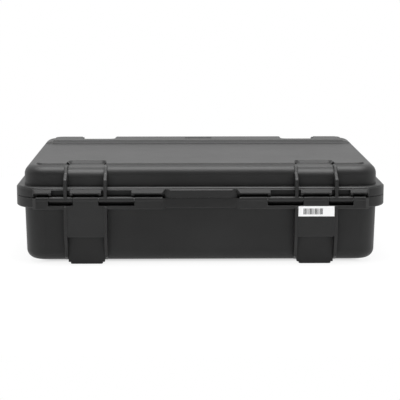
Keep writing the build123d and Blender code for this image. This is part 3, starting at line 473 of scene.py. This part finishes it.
def rowOfBeads(tree, groupIn, path, start, axis, sides, taper=None):
    # A round bead swept along the path, then repeated along one axis
    bead = addNode(tree, "GeometryNodeCurvePrimitiveCircle", Resolution=sides)
    tree.links.new(groupIn.outputs["Bead"], bead.inputs["Radius"])
    sweep = addNode(tree, "GeometryNodeCurveToMesh")
    tree.links.new(path, sweep.inputs["Curve"])
    tree.links.new(bead.outputs["Curve"], sweep.inputs["Profile Curve"])
    if taper:
        sweep.inputs["Fill Caps"].default_value = True
        tree.links.new(taper, sweep.inputs["Scale"])
    line = addNode(tree, "GeometryNodeMeshLine")
    tree.links.new(groupIn.outputs["Count"], line.inputs["Count"])
    tree.links.new(start, line.inputs["Start Location"])
    tree.links.new(combine(tree, **{axis: groupIn.outputs["Pitch"]}), line.inputs["Offset"])
    each = addNode(tree, "GeometryNodeInstanceOnPoints")
    tree.links.new(line.outputs["Mesh"], each.inputs["Points"])
    tree.links.new(sweep.outputs["Mesh"], each.inputs["Instance"])
    return each.outputs["Instances"]


# Foam block in the base, cut for a laptop and its charger; bays are (width, depth, drop) in mm

baseFoam = {"inset": 0.2, "cornerRadius": 25.6, "taper": math.tan(math.radians(1.5)),
            "topRound": 1.6, "bottomRound": 9.0, "roundSteps": 4, "wallSteps": 8,
            "laptopBay": (400.0, 276.0, 38.0), "chargerBay": (150.0, 92.0, 28.0), "bayRadius": 12.0,
            "baySteps": 6, "ledgeInset": 3.0, "nutRoom": 4.0, "sharpAngle": 50.0,
            "wobble": 0.45, "wobbleSize": 38.0, "wobbleSeed": 5}


def arcRings(centre, halfX, halfY, corner, topZ, rounding, inward, steps):
    # Rings round a softened edge, from its wall to its top, or from its top to its wall
    rings = []
    for step in range(steps + 1):
        angle = step / steps * math.pi / 2
        if inward:
            grow, z = rounding * (1 - math.sin(angle)), topZ - rounding * (1 - math.cos(angle))
        else:
            grow, z = -rounding * (1 - math.cos(angle)), topZ - rounding * (1 - math.sin(angle))
        rings.append(ringAt(z, centre, halfX + grow, halfY + grow, corner + grow))
    return rings


def makeBaseFoam(s):
    centre, halfX, halfY = boxMiddle(foamLow, foamHigh, s["inset"] * mm)
    corner, topRound, bottomRound = s["cornerRadius"] * mm, s["topRound"] * mm, s["bottomRound"] * mm
    topZ, bottomZ = foamHigh.z - s["inset"] * mm, foamLow.z + s["inset"] * mm

    def wallRing(z, extra=0.0):
        pull = (foamHigh.z - z) * s["taper"] + extra
        return ringAt(z, centre, halfX - pull, halfY - pull, corner - pull)

    rings = []
    for step in reversed(range(s["roundSteps"] + 1)):
        angle = step / s["roundSteps"] * math.pi / 2
        rings.append(wallRing(bottomZ + bottomRound * (1 - math.sin(angle)),
                              bottomRound * (1 - math.cos(angle))))
    height = topZ - topRound - (bottomZ + bottomRound)
    rings += [wallRing(bottomZ + bottomRound + height * k / s["wallSteps"])
              for k in range(1, s["wallSteps"])]
    rings += arcRings(centre, halfX, halfY, corner, topZ, topRound, False, s["roundSteps"])
    bays = (s["laptopBay"], s["chargerBay"])
    bayCorner, baySteps = s["bayRadius"] * mm, s["baySteps"]
    floorZ = topZ
    for index, (width, depth, drop) in enumerate(bays):
        bayX, bayY = width * mm / 2, depth * mm / 2
        if index:
            # A few rings across the ledge, so it can wobble too
            outerX = bays[0][0] * mm / 2 - s["ledgeInset"] * mm
            outerY = bays[0][1] * mm / 2 - s["ledgeInset"] * mm
            for k in range(baySteps):
                share = k / baySteps
                rings.append(ringAt(floorZ, centre, outerX + (bayX - outerX) * share,
                                    outerY + (bayY - outerY) * share, bayCorner))
        rings += arcRings(centre, bayX, bayY, bayCorner, floorZ, topRound, True, s["roundSteps"])
        bottom = (floorZ if index else foamHigh.z) - drop * mm
        wallTop = floorZ - topRound
        rings += [ringAt(wallTop - (wallTop - bottom) * k / baySteps, centre, bayX, bayY, bayCorner)
                  for k in range(1, baySteps + 1)]
        floorZ = bottom
    mesh = loftRings("baseFoam", rings)
    wobble.seed_set(s["wobbleSeed"])   # noise_vector has other offsets in each run without it
    for vertex in mesh.vertices:
        shift = wobble.noise_vector(vertex.co / (s["wobbleSize"] * mm))
        vertex.co += shift * s["wobble"] * mm
        vertex.co.z = min(vertex.co.z, foamHigh.z)
    smoothMesh(mesh, s["sharpAngle"])
    piece = addObject("baseFoam", mesh)
    # Notch that leaves room for the valve's nut
    room = s["nutRoom"] * mm
    corners = [(nutLow.x - room, nutLow.y - room, nutLow.z - room),
               (nutHigh.x + room, foamHigh.y + room, foamHigh.z + room)]
    build = bmesh.new()
    bmesh.ops.create_cube(build, size=1.0)
    for vertex in build.verts:
        vertex.co = [corners[vertex.co[k] > 0][k] for k in range(3)]
    bmesh.ops.recalc_face_normals(build, faces=build.faces)
    cutter = addObject("nutNotch", meshFrom("nutNotch", build))
    cut = piece.modifiers.new("notch", "BOOLEAN")
    cut.object, cut.operation, cut.solver = cutter, "DIFFERENCE", "EXACT"
    bakeModifiers(piece)
    bpy.data.objects.remove(cutter)
    smoothMesh(piece.data, s["sharpAngle"])
    if not piece.data.materials:
        piece.data.materials.append(foam)
    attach(piece, "base")
    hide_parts("base_foam")


makeBaseFoam(baseFoam)
print("base foam done")

# Egg-crate foam in the lid

lidFoam = {"inset": 0.2, "cornerRadius": 25.6, "taper": math.tan(math.radians(1.5)), "topRound": 9.0,
           "cells": (150, 106), "wallSteps": 4, "roundSteps": 4, "sharpAngle": 60.0,
           "pitch": 26.0, "depth": 17.0, "power": 0.85, "edge": 9.0}


def cornerMapped(gx, gy, centre, halfX, halfY, radius):
    # Grid point, its square corners drawn in to round ones
    x, y = abs(gx) * halfX, abs(gy) * halfY
    u, v = (x - halfX + radius) / radius, (y - halfY + radius) / radius
    if u > 0 and v > 0:
        reach = max(u, v)
        angle = math.pi / 4 * (v / u) if u > v else math.pi / 2 - math.pi / 4 * (u / v)
        x = halfX - radius + radius * reach * math.cos(angle)
        y = halfY - radius + radius * reach * math.sin(angle)
    return centre[0] + math.copysign(x, gx), centre[1] + math.copysign(y, gy)


def eggCrateTree(s, sizes):
    # Peaks and hollows in a square pattern, all upwards from the foam's lower face
    tree, groupIn, groupOut = newTree("eggCrate", sizes)
    split = addNode(tree, "ShaderNodeSeparateXYZ")
    tree.links.new(addNode(tree, "GeometryNodeInputPosition").outputs[0], split.inputs[0])
    waves = []
    for axis in ("X", "Y"):
        turns = maths(tree, "MULTIPLY", split.outputs[axis], 2 * math.pi)
        turns = maths(tree, "DIVIDE", turns, groupIn.outputs["Pitch"])
        waves.append(maths(tree, "COSINE", turns))
    # Two waves from -1 to 1, brought to 0 to 1
    wave = maths(tree, "ADD", maths(tree, "MULTIPLY", maths(tree, "ADD", *waves), 0.25), 0.5)
    height = maths(tree, "MULTIPLY", maths(tree, "POWER", wave, s["power"]), groupIn.outputs["Depth"])
    rise = addNode(tree, "GeometryNodeInputNamedAttribute", data_type="FLOAT", Name="rise")
    height = maths(tree, "MULTIPLY", height, rise.outputs["Attribute"])
    move = addNode(tree, "GeometryNodeSetPosition")
    tree.links.new(groupIn.outputs["Geometry"], move.inputs["Geometry"])
    tree.links.new(combine(tree, Z=height), move.inputs["Offset"])
    finishTree(tree, move.outputs["Geometry"], groupIn, groupOut)
    return tree


def makeLidFoam(s):
    centre, halfX, halfY = boxMiddle(lidFoamLow, lidFoamHigh, s["inset"] * mm)
    radius, topRound = s["cornerRadius"] * mm, s["topRound"] * mm
    lowZ, topZ = lidFoamLow.z + s["inset"] * mm, lidFoamHigh.z - s["inset"] * mm
    countX, countY = s["cells"]
    build = bmesh.new()
    rise = build.verts.layers.float.new("rise")

    def gridPoint(i, j, z, pull=0.0):
        gx, gy = 2 * i / countX - 1, 2 * j / countY - 1
        x, y = cornerMapped(gx, gy, centre, halfX - pull, halfY - pull, radius - pull)
        vertex = build.verts.new((x, y, z))
        edge = min((1 - abs(gx)) * halfX, (1 - abs(gy)) * halfY) / (s["edge"] * mm)
        ease = max(0.0, min(1.0, edge))
        vertex[rise] = ease * ease * (3 - 2 * ease)
        return vertex

    under = [[gridPoint(i, j, lowZ) for j in range(countY + 1)] for i in range(countX + 1)]
    for i in range(countX):
        for j in range(countY):
            build.faces.new((under[i][j], under[i][j + 1], under[i + 1][j + 1], under[i + 1][j]))
    border = ([(i, 0) for i in range(countX)] + [(countX, j) for j in range(countY)]
              + [(i, countY) for i in range(countX, 0, -1)] + [(0, j) for j in range(countY, 0, -1)])
    last = [under[i][j] for i, j in border]
    levels = [(lowZ + (topZ - lowZ - topRound) * k / s["wallSteps"], 0.0)
              for k in range(1, s["wallSteps"] + 1)]
    for step in range(1, s["roundSteps"] + 1):
        angle = step / s["roundSteps"] * math.pi / 2
        levels.append((topZ - topRound * (1 - math.sin(angle)), topRound * (1 - math.cos(angle))))
    for z, pull in levels:
        row = [gridPoint(i, j, z, pull + (z - lowZ) * s["taper"]) for i, j in border]
        for vertex in row:
            vertex[rise] = 0.0
        for k in range(len(row)):
            after = (k + 1) % len(row)
            build.faces.new((last[k], last[after], row[after], row[k]))
        last = row
    build.faces.new(last)
    bmesh.ops.recalc_face_normals(build, faces=build.faces)
    mesh = meshFrom("lidFoam", build)
    smoothMesh(mesh, s["sharpAngle"])
    piece = addObject("lidFoam", mesh)
    sizes = {"Pitch": s["pitch"] * mm, "Depth": s["depth"] * mm, "Material": foam}
    growTree(piece, eggCrateTree(s, sizes), sizes)
    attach(piece, "lid")
    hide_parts("lid_foam")


makeLidFoam(lidFoam)
print("lid foam done")

# Seal in the lid's groove: a cord with a plump, squarish section

gasket = {"section": 3.8, "corner": 30.0, "steps": 14, "power": 2.6}


def makeGasket(s):
    half = s["section"] * mm / 2
    centre, halfX, halfY = boxMiddle(sealLow, sealHigh, half)
    middleZ, halfZ = (sealLow.z + sealHigh.z) / 2, (sealHigh.z - sealLow.z) / 2
    rings = []
    for step in range(s["steps"]):
        angle = step / s["steps"] * 2 * math.pi
        out, up = [math.copysign(abs(part) ** (2 / s["power"]), part)
                   for part in (math.cos(angle), math.sin(angle))]
        rings.append(ringAt(middleZ + up * halfZ, centre, halfX + out * half, halfY + out * half,
                            s["corner"] * mm + out * half))
    mesh = loftRings("lidGasket", rings, closed=True)
    smoothMesh(mesh)
    mesh.materials.append(sealRubber)
    piece = addObject("lidGasket", mesh)
    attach(piece, "lid")
    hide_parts("lid_seal")


makeGasket(gasket)
print("gasket done")

# Ribs round the handle's soft grip

gripRibs = {"count": 23, "pitch": 3.6, "bead": 0.6, "beadSides": 8, "round": 7.0, "roundSteps": 5}


def makeGripRibs(s):
    centre = (gripLow + gripHigh) / 2
    sizes = {"Count": s["count"], "Pitch": s["pitch"] * mm, "Bead": s["bead"] * mm,
             "Round": s["round"] * mm, "Section Y": gripHigh.y - gripLow.y,
             "Section Z": gripHigh.z - gripLow.z, "Centre": tuple(centre), "Material": gripRubber}
    tree, groupIn, groupOut = newTree("gripRibs", sizes)
    section = addNode(tree, "GeometryNodeCurvePrimitiveQuadrilateral")
    tree.links.new(groupIn.outputs["Section Z"], section.inputs["Width"])
    tree.links.new(groupIn.outputs["Section Y"], section.inputs["Height"])
    roundOff = addNode(tree, "GeometryNodeFilletCurve", mode="POLY", Count=s["roundSteps"])
    tree.links.new(section.outputs["Curve"], roundOff.inputs["Curve"])
    tree.links.new(groupIn.outputs["Round"], roundOff.inputs["Radius"])
    stand = addNode(tree, "GeometryNodeTransform", Rotation=(0.0, math.radians(90), 0.0))
    tree.links.new(roundOff.outputs["Curve"], stand.inputs["Geometry"])
    # The row starts half its length before the grip's middle
    back = maths(tree, "MULTIPLY", maths(tree, "SUBTRACT", groupIn.outputs["Count"], 1.0), -0.5)
    start = addNode(tree, "ShaderNodeVectorMath", operation="ADD")
    offset = combine(tree, X=maths(tree, "MULTIPLY", back, groupIn.outputs["Pitch"]))
    tree.links.new(offset, start.inputs[0])
    tree.links.new(groupIn.outputs["Centre"], start.inputs[1])
    row = rowOfBeads(tree, groupIn, stand.outputs["Geometry"], start.outputs[0], "X", s["beadSides"])
    finishTree(tree, row, groupIn, groupOut)
    piece = addObject("gripRibs", bpy.data.meshes.new("gripRibs"))
    growTree(piece, tree, sizes)
    smoothMesh(piece.data)
    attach(piece, "handle")


makeGripRibs(gripRibs)
print("grip ribs done")

# Finger ribs on the triggers, and their springs

triggerRibs = {"count": 5, "pitch": 2.2, "length": 21.0, "bead": 0.5, "beadSides": 10, "points": 13,
               "endPower": 8.0, "rise": 4.8, "sink": 0.66}
triggerCoil = {"wire": 0.35, "wireSteps": 2, "radius": 2.0, "turns": 3.5, "pitch": 1.25,
               "turnSteps": 20, "leg": 1.3, "legShift": 0.1, "sharpAngle": 60.0}


def makeTriggerRibs(s, side):
    low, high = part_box("trigger_" + side)
    first = ((low.x + high.x) / 2, high.y - s["sink"] * mm, low.z + s["rise"] * mm)
    sizes = {"Count": s["count"], "Pitch": s["pitch"] * mm, "Bead": s["bead"] * mm,
             "Length": s["length"] * mm, "First": first, "Material": latchPlastic}
    tree, groupIn, groupOut = newTree("triggerRibs_" + side, sizes)
    bar = addNode(tree, "GeometryNodeCurvePrimitiveLine")
    for end, share in (("Start", -0.5), ("End", 0.5)):
        reach = maths(tree, "MULTIPLY", groupIn.outputs["Length"], share)
        tree.links.new(combine(tree, X=reach), bar.inputs[end])
    divide = addNode(tree, "GeometryNodeResampleCurve", Count=s["points"])
    tree.links.new(bar.outputs["Curve"], divide.inputs["Curve"])
    # The bead stays full for most of its length and closes at both ends
    along = addNode(tree, "GeometryNodeSplineParameter").outputs["Factor"]
    fromMiddle = maths(tree, "ABSOLUTE", maths(tree, "SUBTRACT", along, 0.5))
    closing = maths(tree, "POWER", maths(tree, "MULTIPLY", fromMiddle, 2.0), s["endPower"])
    taper = maths(tree, "SUBTRACT", 1.0, closing)
    row = rowOfBeads(tree, groupIn, divide.outputs["Curve"], groupIn.outputs["First"], "Z",
                     s["beadSides"], taper)
    finishTree(tree, row, groupIn, groupOut)
    piece = addObject("triggerRibs_" + side, bpy.data.meshes.new("triggerRibs"))
    growTree(piece, tree, sizes)
    smoothMesh(piece.data)
    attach(piece, "trigger_" + side)


def makeTriggerCoil(s, side):
    # Coil round the trigger's pin with two straight legs
    low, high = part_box("trigger_spring_" + side)
    middle = (low + high) / 2
    radius, count = s["radius"] * mm, int(s["turns"] * s["turnSteps"])
    points = []
    for step in range(count + 1):
        angle = step / s["turnSteps"] * 2 * math.pi
        x = middle.x + (step / count - 0.5) * s["turns"] * s["pitch"] * mm
        y, z = middle.y + radius * math.cos(angle), middle.z + radius * math.sin(angle)
        points.append(Vector((x, y, z)))
    leg, shift = s["leg"] * mm, s["legShift"] * mm
    points.insert(0, points[0] + Vector((-shift, 0, -leg)))
    points.append(points[-1] + Vector((shift, 0, -leg)))
    curve = bpy.data.curves.new("triggerCoil", "CURVE")
    curve.dimensions = "3D"
    curve.bevel_depth, curve.bevel_resolution, curve.use_fill_caps = s["wire"] * mm, s["wireSteps"], True
    spline = curve.splines.new("POLY")
    spline.points.add(len(points) - 1)
    for point, place in zip(spline.points, points):
        point.co = (*place, 1)
    path = addObject("coilPath", curve)
    bpy.context.view_layer.update()
    mesh = bpy.data.meshes.new_from_object(path.evaluated_get(bpy.context.evaluated_depsgraph_get()))
    bpy.data.objects.remove(path)
    mesh.materials.clear()
    mesh.materials.append(steel)
    smoothMesh(mesh, s["sharpAngle"])
    piece = addObject("triggerCoil_" + side, mesh)
    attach(piece, "latch_" + side)
    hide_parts("trigger_spring_" + side)


for side in ("left", "right"):
    makeTriggerRibs(triggerRibs, side)
    makeTriggerCoil(triggerCoil, side)
print("trigger ribs and coils done")

# Camera: pitch in degrees downwards, focal length in pixels of a picture 400 wide

shot = {"place": (-0.027, -2.004, 0.394), "aimSide": 0.0141, "pitch": 9.47, "focal": 1351.0,
        "frameWidth": 400.0, "sensor": 36.0, "clip": (0.05, 50.0)}


def makeCamera(s):
    data = bpy.data.cameras.new("camera")
    data.sensor_width = s["sensor"]
    data.lens = s["focal"] / s["frameWidth"] * s["sensor"]
    data.clip_start, data.clip_end = s["clip"]
    camera = addObject("camera", data)
    pitch = math.radians(s["pitch"])
    level = Vector((s["aimSide"], 1.0, 0.0)).normalized()
    ahead = level * math.cos(pitch) - Vector((0, 0, math.sin(pitch)))
    camera.location = s["place"]
    camera.rotation_mode = "QUATERNION"
    camera.rotation_quaternion = ahead.to_track_quat("-Z", "Y")
    bpy.context.scene.camera = camera


makeCamera(shot)
print("camera done")

# Floor: paper with the case's shadow near it, plain white further out, and no glow under the case

floorPaper = {"size": 14.0, "tone": 0.92, "glow": 0.9, "shift": 0.2,     # shift keeps the ramp above 0
              "underFrom": 0.075, "underTo": 0.03, "fade": 0.45}         # metres from the case's box


def anyOf(tree, path, *rays):
    total = path.outputs[rays[0]]
    for ray in rays[1:]:
        total = maths(tree, "ADD", total, path.outputs[ray])
    return total


def makeFloor(s):
    build = bmesh.new()
    bmesh.ops.create_grid(build, x_segments=1, y_segments=1, size=s["size"])
    mesh = meshFrom("floor", build)
    floor = addObject("floor", mesh)
    material, tree, shader = newMaterial("floorPaper")
    tree.nodes.remove(shader)
    paper = addNode(tree, "ShaderNodeBsdfDiffuse", Color=grey(s["tone"]))
    glow = addNode(tree, "ShaderNodeEmission", Color=grey(1.0), Strength=1.0)
    blend = addNode(tree, "ShaderNodeMixShader")
    place = addNode(tree, "ShaderNodeSeparateXYZ")
    tree.links.new(objectCoords(tree), place.inputs[0])
    past = [maths(tree, "SUBTRACT", maths(tree, "ABSOLUTE", place.outputs[axis]), half)
            for axis, half in (("X", cadHigh.x), ("Y", cadHigh.y))]
    away = maths(tree, "ADD", maths(tree, "MAXIMUM", *past), s["shift"])
    spread = ramp(tree, away, (s["shift"] - s["underFrom"], 0.0),
                  (s["shift"] - s["underTo"], s["glow"]), (s["shift"] + s["fade"], 1.0))
    path = addNode(tree, "ShaderNodeLightPath")
    seen = anyOf(tree, path, "Is Camera Ray", "Is Glossy Ray", "Is Transmission Ray")
    seen = maths(tree, "MINIMUM", seen, 1.0)
    tree.links.new(maths(tree, "MULTIPLY", seen, spread), blend.inputs[0])
    tree.links.new(paper.outputs[0], blend.inputs[1])
    tree.links.new(glow.outputs[0], blend.inputs[2])
    tree.links.new(blend.outputs[0], tree.nodes["Material Output"].inputs["Surface"])
    mesh.materials.append(material)


makeFloor(floorPaper)
print("floor done")

# One broad lamp above, and a white room whose open side, towards -Y, is darker

keyLight = {"power": 88.0, "size": (2.4, 1.6), "place": (0.0, -0.3, 2.1), "aim": (0.0, 0.0, 0.1)}
room = {"skyLight": 0.42, "openSide": 0.05, "darkFrom": -0.7, "darkTo": 0.1}


def makeKeyLight(s):
    data = bpy.data.lights.new("keyLight", "AREA")
    data.shape = "RECTANGLE"
    data.size, data.size_y = s["size"]
    data.energy = s["power"]
    lamp = addObject("keyLight", data)
    lamp.location = s["place"]
    aim = Vector(s["aim"]) - Vector(s["place"])
    lamp.rotation_euler = aim.to_track_quat("-Z", "Y").to_euler()


def makeRoom(s):
    world = bpy.data.worlds.new("studio")
    world.use_nodes = True
    bpy.context.scene.world = world
    tree = world.node_tree
    background = tree.nodes["Background"]
    background.inputs["Color"].default_value = grey(1.0)
    split = addNode(tree, "ShaderNodeSeparateXYZ")
    tree.links.new(addNode(tree, "ShaderNodeTexCoord").outputs["Generated"], split.inputs[0])
    side = addNode(tree, "ShaderNodeMapRange", interpolation_type="SMOOTHSTEP")
    side.inputs["From Min"].default_value = s["darkFrom"]
    side.inputs["From Max"].default_value = s["darkTo"]
    tree.links.new(split.outputs["Y"], side.inputs["Value"])
    # Reflections see a white backdrop, and the camera sees plain white
    path = addNode(tree, "ShaderNodeLightPath")
    mirrored = anyOf(tree, path, "Is Glossy Ray", "Is Transmission Ray")
    backdrop = blendBetween(tree, mirrored, s["skyLight"], 1.0)
    around = blendBetween(tree, side.outputs["Result"], s["openSide"], backdrop)
    strength = blendBetween(tree, path.outputs["Is Camera Ray"], around, 1.0)
    tree.links.new(strength, background.inputs["Strength"])


makeKeyLight(keyLight)
makeRoom(room)
bpy.context.scene.view_settings.view_transform = "Standard"

print("scene ready")
